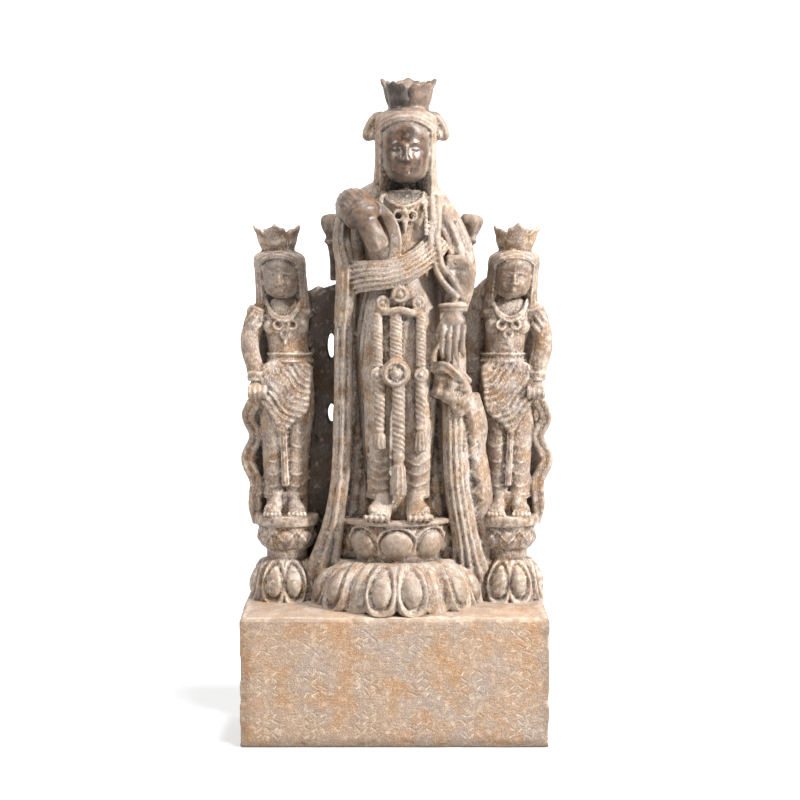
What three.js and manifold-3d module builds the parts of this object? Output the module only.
// A stone votive carving: a crowned standing figure on a double lotus between two smaller attendants,
// each on a lotus of its own, all cut with their plinth from one block of limestone.
// Millimetres, +Z up, the front faces -Y, and the origin is the middle of the underside.
import * as THREE from "three";
import { mergeVertices } from "three/addons/utils/BufferGeometryUtils.js";
import Module from "manifold-3d";

const wasm = await Module();
wasm.setup();

// Driving dimensions
const PLINTH = { wide: 232, deep: 110, front: 98, back: 102, chamfer: 1.6, offset: -1.5 };
const STAND = 168; // level of the soles of all three figures
const BACK = 50; // the carving ends in a plane here, a little before the back of the plinth
const FIGURE = { y: 9, hem: 183, waist: 346, shoulder: 419, chin: 425, crown: 479, top: 506 };
const HEAD_X = 7; // the main figure's head leans this far to its left
const ATTENDANT = { x: 87, y: 17, hem: 181, waist: 288, shoulder: 336, crown: 372, top: 394 };

const TURN = 2 * Math.PI;
const FRONT = new THREE.Vector3(0, -1, 0);
const vec = (x, y, z) => new THREE.Vector3(x, y, z);
const clamp = THREE.MathUtils.clamp;
const smooth = THREE.MathUtils.smoothstep;

// A smooth function through [position, value] pairs: cubic pieces with the slope of the neighbours
function through(...pairs) {
  const slope = (i) => {
    const [a, b] = [pairs[Math.max(0, i - 1)], pairs[Math.min(pairs.length - 1, i + 1)]];
    return (b[1] - a[1]) / (b[0] - a[0]);
  };
  return (at) => {
    const last = pairs.findIndex(([position]) => position >= at);
    const i = last < 0 ? pairs.length - 2 : Math.max(0, last - 1);
    const [[p, v], [q, w]] = [pairs[i], pairs[i + 1]];
    const t = clamp((at - p) / (q - p), 0, 1);
    const rise = (2 * t - 3) * t * t + 1;
    const bend = t * (1 - t) * (q - p);
    return rise * v + (1 - rise) * w + bend * ((1 - t) * slope(i) - t * slope(i + 1));
  };
}

// A rounded bump: 1 in the middle, falling to 0 where a and b leave the unit circle
const dome = (a, b) => Math.sqrt(Math.max(0, 1 - a * a - b * b));

// A closed surface pointAt(turn, along) on a grid, with a flat fan on its first and last ring
function skin(columns, rows, pointAt) {
  const points = [];
  for (let row = 0; row <= rows; row++) {
    for (let column = 0; column < columns; column++) points.push(pointAt(column / columns, row / rows));
  }
  const middle = (row) => {
    const sum = vec(0, 0, 0);
    for (let column = 0; column < columns; column++) sum.add(points[row * columns + column]);
    return sum.divideScalar(columns);
  };
  points.push(middle(0), middle(rows));
  const faces = [];
  for (let column = 0; column < columns; column++) {
    const next = (column + 1) % columns;
    faces.push(points.length - 2, next, column);
    faces.push(points.length - 1, rows * columns + column, rows * columns + next);
    for (let row = 0; row < rows; row++) {
      const [low, high] = [row * columns, (row + 1) * columns];
      faces.push(low + column, low + next, high + next, low + column, high + next, high + column);
    }
  }
  return new THREE.BufferGeometry().setFromPoints(points).setIndex(faces);
}

// An upright form of oval sections. x, y, wide, front and back are functions of the height; square
// below 1 fills out the corners of the section; relief(angle, height) raises the surface.
function upright(columns, rows, low, high, form) {
  const power = (value) => Math.sign(value) * Math.abs(value) ** (form.square ?? 1);
  return skin(columns, rows, (turn, along) => {
    const z = low + (high - low) * along;
    const angle = TURN * turn;
    const [c, s] = [power(Math.cos(angle)), power(Math.sin(angle))];
    const raised = form.relief ? form.relief(angle, z) : 0;
    const x = form.x(z) + (form.wide(z) + raised) * c;
    const y = form.y(z) + ((s > 0 ? form.back(z) : form.front(z)) + raised) * s;
    return vec(x, Math.min(y, BACK), z);
  });
}

// A profile carried along a path: an oval wide across it and thick towards the facing direction
function swept(columns, rows, points, wide, thick, facing = FRONT) {
  const path = new THREE.CatmullRomCurve3(points.map((point) => vec(...point)));
  return skin(columns, rows, (turn, along) => {
    const tangent = path.getTangent(along);
    const side = tangent.clone().cross(facing).normalize();
    const out = side.clone().cross(tangent);
    const angle = TURN * turn;
    return path
      .getPoint(along)
      .addScaledVector(side, wide(along) * Math.cos(angle))
      .addScaledVector(out, thick(along) * Math.sin(angle));
  });
}

// A round cord or limb with one radius, or a radius along the path
function limb(columns, rows, points, radius, facing = FRONT) {
  const along = typeof radius === "number" ? () => radius : radius;
  return swept(columns, rows, points, along, along, facing);
}

function ball(columns, rows, at, radii) {
  return new THREE.SphereGeometry(1, columns, rows).scale(...radii).translate(...at);
}

// A flat plate cut to a smooth outline in the XZ plane, from y = front back to y = rear
function plate(outline, front, rear, steps) {
  const curve = new THREE.SplineCurve([...outline, outline[0]].map(([x, z]) => new THREE.Vector2(x, z)));
  const shape = new THREE.Shape(curve.getPoints(steps).slice(0, -1));
  const options = { depth: rear - front, bevelEnabled: false };
  return new THREE.ExtrudeGeometry(shape, options).rotateX(Math.PI / 2).translate(0, rear, 0);
}

// A plain geometry as a solid for joining and cutting, turned the right way out if it was mirrored
function solid(geometry) {
  const bare = geometry.clone();
  bare.deleteAttribute("normal");
  bare.deleteAttribute("uv");
  const merged = mergeVertices(bare, 1e-3);
  const triVerts = new Uint32Array(merged.index.array);
  const make = () =>
    new wasm.Manifold(new wasm.Mesh({ numProp: 3, vertProperties: merged.attributes.position.array, triVerts }));
  const made = make();
  if (made.volume() > 0) return made;
  for (let i = 0; i < triVerts.length; i += 3) {
    [triVerts[i + 1], triVerts[i + 2]] = [triVerts[i + 2], triVerts[i + 1]];
  }
  return make();
}

// Plinth: a block whose top rises a little towards the back, with worn arrises
function plinth() {
  const { wide, deep, front, back, chamfer } = PLINTH;
  const half = deep / 2;
  const side = new THREE.Shape([
    new THREE.Vector2(-half, 0),
    new THREE.Vector2(half, 0),
    new THREE.Vector2(half, back),
    new THREE.Vector2(-half / 4, back),
    new THREE.Vector2(-half + chamfer, front),
    new THREE.Vector2(-half, front - chamfer),
  ]);
  const options = {
    depth: wide - 2 * chamfer,
    bevelThickness: chamfer,
    bevelSize: chamfer,
    bevelOffset: -chamfer,
    bevelSegments: 1,
  };
  const block = new THREE.ExtrudeGeometry(side, options).rotateX(Math.PI / 2).rotateZ(Math.PI / 2);
  return [block.translate(PLINTH.offset - wide / 2 + chamfer, 0, 0)];
}

// Where an angle lies across its petal, from -1 to 1, with a petal in the middle of the front
function acrossPetal(angle, petals) {
  const petal = (angle / TURN + 0.25) * petals + 0.5;
  return 2 * (petal - Math.floor(petal)) - 1;
}

// Lotus of hanging petals, each with a pair of raised lobes and a plain petal showing between them
function hangingLotus(columns, rows, form) {
  const { x, y, wide, deep, low, high, petals } = form;
  return skin(columns, rows, (turn, along) => {
    const angle = TURN * turn;
    const across = Math.abs(acrossPetal(angle, petals));
    const swell = 0.8 + 0.2 * Math.sin((Math.min(1, along * 1.4) * Math.PI) / 2) - 0.08 * smooth(along, 0.85, 1);
    const lobe = 0.075 * dome((across - 0.4) / 0.34, (along - 0.5) / 0.45);
    const share = swell - 0.05 * smooth(across, 0.7, 0.9) + lobe - 0.02;
    const depth = y + deep * share * Math.sin(angle);
    return vec(x + wide * share * Math.cos(angle), Math.min(depth, BACK), high + (low - high) * along);
  });
}

// Lotus of rising petals: a neck, a bowl of round scallops and a thin flat rim, from below upwards
function risingLotus(columns, form) {
  const { x, y, wide, deep, neck, neckLow, low, rim, high, petals } = form;
  const heights = [neckLow, low, low + 0.35 * (rim - low), low + 0.75 * (rim - low), rim, rim + 0.5, high];
  const reach = [neck, neck, 0.86, 0.93, 0.94, 1, 1];
  const bulge = [0, 0, 0.1, 0.07, 0, 0, 0];
  return skin(columns * petals, heights.length - 1, (turn, along) => {
    const row = Math.round(along * (heights.length - 1));
    const angle = TURN * turn;
    const share = reach[row] + bulge[row] * dome(acrossPetal(angle, petals), 0);
    const depth = y + deep * share * Math.sin(angle);
    return vec(x + wide * share * Math.cos(angle), Math.min(depth, BACK), heights[row]);
  });
}

// A plain round drum or disc with oval plan
function drum(columns, at, wide, deep, low, high) {
  const round = new THREE.CylinderGeometry(1, 1, high - low, columns).rotateX(Math.PI / 2);
  return round.scale(wide, deep, 1).translate(at[0], at[1], (low + high) / 2);
}

// A crown: a flaring cup whose rim rises into a ring of pointed leaves, hollowed from above
function crown(at, wide, low, high, leaves, columns) {
  const rise = high - low;
  const levels = [-0.12, 0.08, 0.5, 1, 0.3];
  const reach = [0.72, 0.74, 0.88, 0.95, 0.55];
  return skin(leaves * columns, levels.length - 1, (turn, along) => {
    const row = Math.round(along * (levels.length - 1));
    const angle = TURN * (turn - 0.25);
    const leaf = Math.abs(Math.sin((leaves * angle) / 2 + (leaves * Math.PI) / 4));
    const height = row === 3 ? 0.55 + 0.45 * leaf : levels[row];
    const radius = wide * (reach[row] + (row === 2 || row === 3 ? 0.05 * leaf : 0));
    return vec(at[0] + radius * Math.cos(angle), at[1] + radius * Math.sin(angle), low + rise * height);
  });
}

// Main figure: the two lotuses
function mainLotus() {
  const { y } = FIGURE;
  const lower = { x: 0, y, wide: 68, deep: 61, low: PLINTH.front - 1, high: 135, petals: 6 };
  const levels = { neckLow: 130, low: 142, rim: 162, high: STAND - 1 };
  const upper = { x: 0, y, wide: 43, deep: 40, neck: 0.86, ...levels, petals: 9 };
  return [hangingLotus(36, 4, lower), risingLotus(3, upper)];
}

// Main figure: the mantle that hangs behind, with folds down its back and a broad border each side
function mantle() {
  const { shoulder } = FIGURE;
  const folds = (angle, z) => (Math.sin(angle) > 0.1 ? 1.6 * Math.cos(6 * angle) * smooth(395 - z, 0, 60) : 0);
  const cloak = upright(22, 6, 100, shoulder, {
    x: through([100, 0], [334, 0], [shoulder, 4]),
    y: through([100, 24], [334, 24], [400, 18], [shoulder, 12]),
    wide: through([100, 66], [139, 61], [163, 56], [190, 52], [217, 50], [334, 48], [380, 46], [404, 38], [419, 22]),
    front: () => 12,
    back: through([100, 25], [334, 23], [404, 19], [419, 12]),
    relief: folds,
  });
  const border = (side, top) =>
    swept(
      6,
      6,
      [
        [side * 40, 0, top],
        [side * 41, -2, (top + 217) / 2],
        [side * 42, 0, 217],
        [side * 44, 1, 190],
        [side * 50, 3, 160],
        [side * 58, 7, 128],
        [side * 63, 12, 104],
      ],
      (along) => 7 + 1.5 * along,
      (along) => 14 - 3 * along,
    );
  return [cloak, border(-1, 356), border(1, 300)];
}

// Main figure: the long skirt over two legs, and the bare feet
function skirtAndFeet() {
  const { hem, waist } = FIGURE;
  const cleft = (angle, z) => {
    const x = 28 * Math.cos(angle);
    const front = Math.max(0, -Math.sin(angle));
    const lower = smooth(300 - z, 0, 70);
    return front * lower * (3 * Math.exp(-(((Math.abs(x) - 15) / 8) ** 2)) - 4 * Math.exp(-((x / 6) ** 2)));
  };
  const skirt = upright(18, 6, hem, waist + 6, {
    x: () => 1,
    y: () => 5,
    wide: through([hem, 25], [217, 27.5], [256, 30], [311, 33], [335, 31], [352, 27]),
    front: through([hem, 22], [256, 23], [311, 25], [352, 23]),
    back: () => 12,
    relief: cleft,
  });
  const foot = (side) =>
    limb(
      6,
      3,
      [
        [1 + side * 14, -6, hem + 2],
        [1 + side * 15, -15, hem - 3],
        [1 + side * 16, -23, STAND + 5],
        [1 + side * 16.5, -29, STAND + 2],
      ],
      (along) => 7 + 2 * along - 5.5 * smooth(along, 0.75, 1),
    );
  const ankles = drum(8, [1, 7], 21, 17, STAND - 2, hem + 4);
  return [skirt, ankles, foot(-1), foot(1)];
}

// Main figure: chest, neck and the mass of the shoulders
function torso() {
  const { waist, shoulder } = FIGURE;
  const chest = upright(14, 4, waist - 4, shoulder, {
    x: through([waist - 4, 1], [shoulder, 5]),
    y: () => 4,
    wide: through([waist - 4, 27], [360, 26], [385, 30], [402, 34], [412, 30], [shoulder, 18]),
    front: through([waist - 4, 22], [370, 20], [395, 22], [412, 17], [shoulder, 12]),
    back: () => 16,
  });
  const neck = drum(8, [HEAD_X - 1, 1], 14, 13, 410, 434);
  return [chest, neck];
}

// Main figure: the raised right arm in its sleeve, bent at the wrist with the fingers worn away
function raisedArm() {
  const arm = limb(
    8,
    6,
    [
      [-40, 10, 398],
      [-38, -6, 404],
      [-32, -20, 404],
      [-24, -27, 397],
      [-16, -29, 387],
      [-10, -27, 379],
    ],
    through([0, 11], [0.25, 13], [0.5, 14.5], [0.68, 13], [0.85, 9], [1, 5]),
    vec(0, -0.4, 1),
  );
  const cuff = limb(
    5,
    8,
    [
      [-44, -10, 400],
      [-41, -13, 411],
      [-30, -15, 418],
      [-18, -17, 414],
      [-9, -20, 405],
      [-3, -21, 393],
      [-1, -21, 381],
      [-5, -20, 371],
      [-14, -20, 364],
    ],
    3.6,
  );
  const hanging = swept(
    6,
    3,
    [
      [-42, 2, 398],
      [-42, -5, 378],
      [-37, -12, 362],
      [-36, -12, 346],
    ],
    (along) => 7 + 4 * along,
    () => 9,
  );
  return [arm, cuff, hanging];
}

// Main figure: the lowered left arm, its wide sleeve, the hand and the broken thing it held
function loweredArm() {
  const sleeve = limb(
    8,
    4,
    [
      [36, 6, 406],
      [45, 5, 392],
      [49, 3, 366],
      [48, -2, 345],
      [45, -6, 326],
    ],
    through([0, 11], [0.3, 12], [0.6, 12.5], [1, 9]),
  );
  const opening = plate(
    [
      [38, 369],
      [54, 368],
      [58, 354],
      [54, 333],
      [44, 341],
      [35, 353],
    ],
    -15,
    -2,
    9,
  );
  const cuff = ball(8, 4, [43, -11, 330], [11.5, 9.5, 4]);
  const palm = ball(8, 5, [43, -15, 318], [10, 7, 12]);
  const fingers = [0, 1, 2, 3].map((finger) =>
    limb(
      4,
      1,
      [
        [36.5 + 4.6 * finger, -17, 316],
        [36 + 4.8 * finger, -19, 304],
        [36.5 + 4.4 * finger, -16, 292 - 1.5 * (finger % 3)],
      ],
      (along) => 2.9 - 1.1 * along,
    ),
  );
  const brim = limb(
    5,
    3,
    [
      [29, -12, 286],
      [42, -17, 283],
      [57, -10, 272],
    ],
    4,
  );
  const lumps = [ball(6, 4, [35, -13, 266], [8, 7, 10]), ball(6, 4, [50, -11, 261], [9, 8, 10])];
  const scarf = swept(
    6,
    6,
    [
      [51, -6, 262],
      [57, -2, 240],
      [53, 0, 222],
      [58, 2, 205],
      [61, 4, 188],
      [62, 8, 172],
    ],
    () => 7.5,
    () => 8,
  );
  return [sleeve, opening, cuff, palm, ...fingers, brim, ...lumps, scarf];
}

// Main figure: the sash wound across the waist, in folds, and the edge of the shawl
function sash() {
  const route = (drop, out) => [
    [-40, -6 - out, 350 + drop],
    [-30, -14 - out, 353 + drop],
    [-18, -19 - out, 354 + drop],
    [-6, -20 - out, 355 + drop],
    [6, -20 - out, 359 + drop],
    [18, -18 - out, 366 + 0.85 * drop],
    [27, -14 - out, 374 + 0.7 * drop],
    [33, -8 - out, 381 + 0.6 * drop],
  ];
  const band = swept(8, 6, route(0, 1), (along) => 11 - 3 * along, () => 5);
  const fold = limb(4, 4, route(-3, 4), 2.6);
  const edge = swept(
    5,
    6,
    [
      [27, -6, 414],
      [27, -14, 400],
      [26, -18, 380],
      [29, -18, 362],
      [36, -16, 348],
      [47, -13, 337],
    ],
    () => 4,
    () => 3.5,
  );
  return [band, fold, edge];
}

// A cord that swells into a tassel at its lower end
function tasselledCord(points, radius) {
  return limb(5, 3, points, (along) => radius + smooth(along, 0.6, 0.7));
}

// Main figure: the collar with its pendant, and the girdle with scrolls, discs and hanging cords
function jewels() {
  const collar = limb(
    4,
    6,
    [
      [-9, -7, 418],
      [-7, -13, 411],
      [0, -17, 407],
      [6, -18, 406],
      [13, -17, 408],
      [19, -12, 412],
      [21, -6, 418],
    ],
    2.4,
  );
  const curl = (x, z) => ball(6, 4, [x, -19, z], [6, 3.5, 6]);
  const boss = ball(6, 4, [2.5, -20, 339], [8, 5, 8]);
  const scroll = limb(
    5,
    4,
    [
      [-15, -17, 329],
      [-6, -21, 326],
      [2.5, -22, 327],
      [11, -20, 325],
      [21, -16, 327],
    ],
    3.4,
  );
  const disc = (x, z, radius) =>
    new THREE.CylinderGeometry(radius, radius, 9, radius > 8 ? 12 : 8).translate(x, -20, z);
  const upper = [-14, -0.5, 18.5].map((x) =>
    limb(4, 1, [[x, -20, 327], [x, -21.5, 305], [x, -21, 284]], x < -10 || x > 10 ? 3.4 : 4.4),
  );
  const lower = [
    tasselledCord([[-12, -20, 282], [-12, -21, 254], [-12, -21.5, 225]], 3.2),
    tasselledCord([[1.5, -21, 282], [1.5, -21, 234], [1.5, -20, 186]], 4.3),
    tasselledCord([[18.5, -19, 282], [18, -20, 252], [18, -21, 221]], 3.2),
  ];
  return [
    collar,
    curl(6, 398),
    boss,
    curl(-11, 334),
    curl(17, 334),
    scroll,
    disc(-0.5, 280, 10.5),
    disc(-14, 279, 5.5),
    disc(18.5, 279, 5.5),
    ...upper,
    ...lower,
  ];
}

// A head with a veil of hair behind it: the face is calm, plain and symmetrical
function head({ x, y, chin, top, wide, veilLow, veilWide }) {
  const tall = top - chin;
  const level = (share) => chin + share * tall;
  const face = upright(8, 5, chin, top, {
    x: () => x,
    y: () => y,
    wide: through(
      [chin, wide * 0.3],
      [level(0.1), wide * 0.62],
      [level(0.26), wide * 0.85],
      [level(0.5), wide],
      [level(0.75), wide],
      [level(1), wide * 0.7],
    ),
    front: through(
      [chin, wide * 0.7],
      [level(0.1), wide],
      [level(0.3), wide * 1.12],
      [level(0.55), wide * 1.16],
      [level(0.75), wide * 1.16],
      [level(1), wide * 0.8],
    ),
    back: () => wide,
  });
  const nose = limb(
    4,
    1,
    [
      [x, y - wide * 1.05, level(0.62)],
      [x, y - wide * 1.16, level(0.48)],
      [x, y - wide * 1.24, level(0.36)],
    ],
    (along) => wide * (0.1 + 0.07 * along),
  );
  const veil = upright(10, 6, veilLow, top, {
    square: 0.75,
    x: () => x,
    y: () => y + wide * 0.7,
    wide: through(
      [veilLow, veilWide * 1.1],
      [chin, veilWide],
      [level(0.6), veilWide],
      [level(0.85), veilWide * 0.96],
      [top, veilWide * 0.7],
    ),
    front: through(
      [veilLow, wide * 0.95],
      [level(0.6), wide * 0.95],
      [level(0.75), wide * 1.05],
      [level(0.81), wide * 1.95],
      [level(0.92), wide * 1.95],
      [top, wide * 1.4],
    ),
    back: through([veilLow, wide * 1.1], [level(0.6), wide * 1.2], [level(0.9), wide * 1.1], [top, wide * 0.8]),
  });
  return [face, nose, veil];
}

// Main figure: head, side loops of the headdress and crown
function mainHead() {
  const { chin, crown: low, top } = FIGURE;
  const face = { x: HEAD_X, y: -5, chin, top: low + 1, wide: 17.5, veilLow: 404, veilWide: 26.5 };
  const loop = (side) =>
    plate(
      [
        [HEAD_X + side * 12, low],
        [HEAD_X + side * 24, low - 1],
        [HEAD_X + side * 31, low - 10],
        [HEAD_X + side * 33, low - 19],
        [HEAD_X + side * 28, low - 22],
        [HEAD_X + side * 16, low - 16],
      ],
      -4,
      14,
      9,
    );
  return [...head(face), loop(-1), loop(1), crown([HEAD_X + 2, 0], 22, low, top, 6, 4)];
}

// Main figure: a lotus bud on its stem behind each shoulder
function buds() {
  const bud = (x, lean) =>
    limb(
      6,
      5,
      [
        [x - 0.4 * lean, 34, 350],
        [x, 30, 374],
        [x + 0.5 * lean, 28, 388],
        [x + lean, 26, 402],
      ],
      through([0, 4], [0.5, 4.5], [0.62, 7], [0.85, 8.5], [1, 4]),
    );
  return [bud(-49, -2), bud(54, 5)];
}

// Stone left standing between an attendant and the mantle
function web(side) {
  const panel = plate(
    [
      [side * 40, 101],
      [side * 40, 352],
      [side * 58, 343],
      [side * 78, 345],
      [side * 82, 220],
      [side * 80, 101],
    ],
    34,
    47,
    10,
  );
  return [panel];
}

// The small openings pierced through the stone on one side
function piercings() {
  const slot = (x, z, wide, tall) =>
    new THREE.CylinderGeometry(1, 1, 60, 6).scale(wide / 2, 1, tall / 2).translate(x, 40, z);
  return [slot(-52, 299, 5, 24), slot(-52, 245, 5, 18), slot(-64, 226, 3.4, 7)];
}

// One attendant, made facing the front on its own axis with its outer side towards +X
function attendant() {
  const { y, hem, waist, shoulder, crown: crownLow, top } = ATTENDANT;
  const lower = { x: 0, y, wide: 28, deep: 27, low: PLINTH.back - 3, high: 133.5, petals: 4 };
  const levels = { neckLow: 130, low: 144, rim: 159, high: STAND };
  const upper = { x: -1, y, wide: 25, deep: 24.5, neck: 0.7, ...levels, petals: 6 };
  const base = [hangingLotus(20, 3, lower), risingLotus(3, upper)];
  const cleft = (angle, z) => {
    const x = 18 * Math.cos(angle);
    const front = Math.max(0, -Math.sin(angle));
    return front * smooth(250 - z, 0, 30) * (2 * Math.exp(-(((Math.abs(x) - 9) / 5) ** 2)) - 3.5 * Math.exp(-((x / 4) ** 2)));
  };
  const skirt = upright(12, 5, hem, waist, {
    x: () => -4,
    y: () => y + 1,
    wide: through([hem, 16.5], [220, 17.5], [260, 19.5], [waist, 17]),
    front: through([hem, 12], [260, 14.5], [waist, 12.5]),
    back: () => 14,
    relief: cleft,
  });
  const foot = (x) =>
    limb(
      5,
      2,
      [
        [x, y - 2, hem + 2],
        [x + 0.5, y - 9, hem - 4],
        [x + 1, y - 16, STAND + 2],
      ],
      (along) => 5.5 + 1.5 * along - 4 * smooth(along, 0.7, 1),
    );
  const ankles = drum(8, [-4, y + 3], 14, 11, STAND - 1, hem + 4);
  const apron = plate(
    [
      [16, 276],
      [0, 235],
      [-10, 243],
      [-22, 250],
      [-22, 280],
      [-4, 286],
    ],
    2,
    12,
    9,
  );
  const tie = limb(5, 1, [[-4, y - 12, 240], [-4, y - 12, 215], [-4, y - 11, 190]], (along) => 3 - along);
  const chest = upright(10, 3, waist - 3, shoulder, {
    x: through([waist, -4], [shoulder, 1]),
    y: () => y + 1,
    wide: through([waist - 3, 17], [300, 17], [318, 20.5], [329, 21.5], [shoulder, 12]),
    front: through([waist - 3, 13.5], [300, 12.5], [318, 14], [329, 11], [shoulder, 7]),
    back: () => 13,
  });
  const belt = drum(8, [-4, y + 1], 18.5, 15, waist - 5, waist + 1);
  const collar = limb(4, 4, [[-13, y - 6, 333], [-8, y - 12, 323], [0, y - 14, 319], [9, y - 12, 323], [14, y - 6, 333]], 2.2);
  const arm = limb(
    6,
    3,
    [
      [19, y - 1, 329],
      [25, y - 3, 313],
      [27, y - 5, 300],
      [24, y - 8, 287],
      [21, y - 10, 275],
    ],
    (along) => 8.5 - 2.5 * along,
  );
  const fist = ball(6, 4, [20.5, y - 12, 267], [8, 7, 8]);
  const scarf = swept(
    5,
    8,
    [
      [19, y - 7, 262],
      [26, y - 1, 245],
      [21.5, y + 2, 229],
      [28, y + 2, 211],
      [21.5, y + 2, 194],
      [22, y + 2, 178],
      [23, y + 3, 158],
    ],
    () => 6,
    () => 6,
  );
  const face = { x: 4.5, y: y - 4, chin: 337, top: crownLow + 1, wide: 14, veilLow: 316, veilWide: 20.5 };
  const neck = drum(8, [3, y], 8, 8, 328, 342);
  return [
    ...base,
    skirt,
    ankles,
    foot(5),
    foot(-13),
    apron,
    tie,
    chest,
    belt,
    collar,
    arm,
    fist,
    scarf,
    neck,
    ...head(face),
    crown([4.5, y], 19, crownLow, top, 5, 3),
  ];
}

// Joining everything into one stone
const join = (geometries) => geometries.map(solid).reduce((whole, next) => whole.add(next));
const mirrored = (geometries) => geometries.map((geometry) => geometry.clone().scale(-1, 1, 1));
const moved = (geometries, x) => geometries.map((geometry) => geometry.translate(x, 0, 0));

const centre = join([
  ...mainLotus(),
  ...mantle(),
  ...skirtAndFeet(),
  ...torso(),
  ...raisedArm(),
  ...loweredArm(),
  ...sash(),
  ...jewels(),
  ...mainHead(),
  ...buds(),
]);
const left = join([...moved(mirrored(attendant()), -ATTENDANT.x), ...web(-1)]).subtract(join(piercings()));
const right = join([...moved(attendant(), ATTENDANT.x), ...web(1)]);
const carving = join(plinth()).add(left).add(right).add(centre);

// The finished stone as one mesh
const cut = carving.getMesh();
const geometry = new THREE.BufferGeometry()
  .setAttribute("position", new THREE.BufferAttribute(cut.vertProperties, 3))
  .setIndex(new THREE.BufferAttribute(cut.triVerts, 1));
const limestone = new THREE.MeshStandardMaterial({ color: 0x94806c, roughness: 0.75, metalness: 0 });
const stone = new THREE.Mesh(geometry, limestone);
stone.name = "stone_carving";

const votive = new THREE.Group();
votive.add(stone);

export default votive;
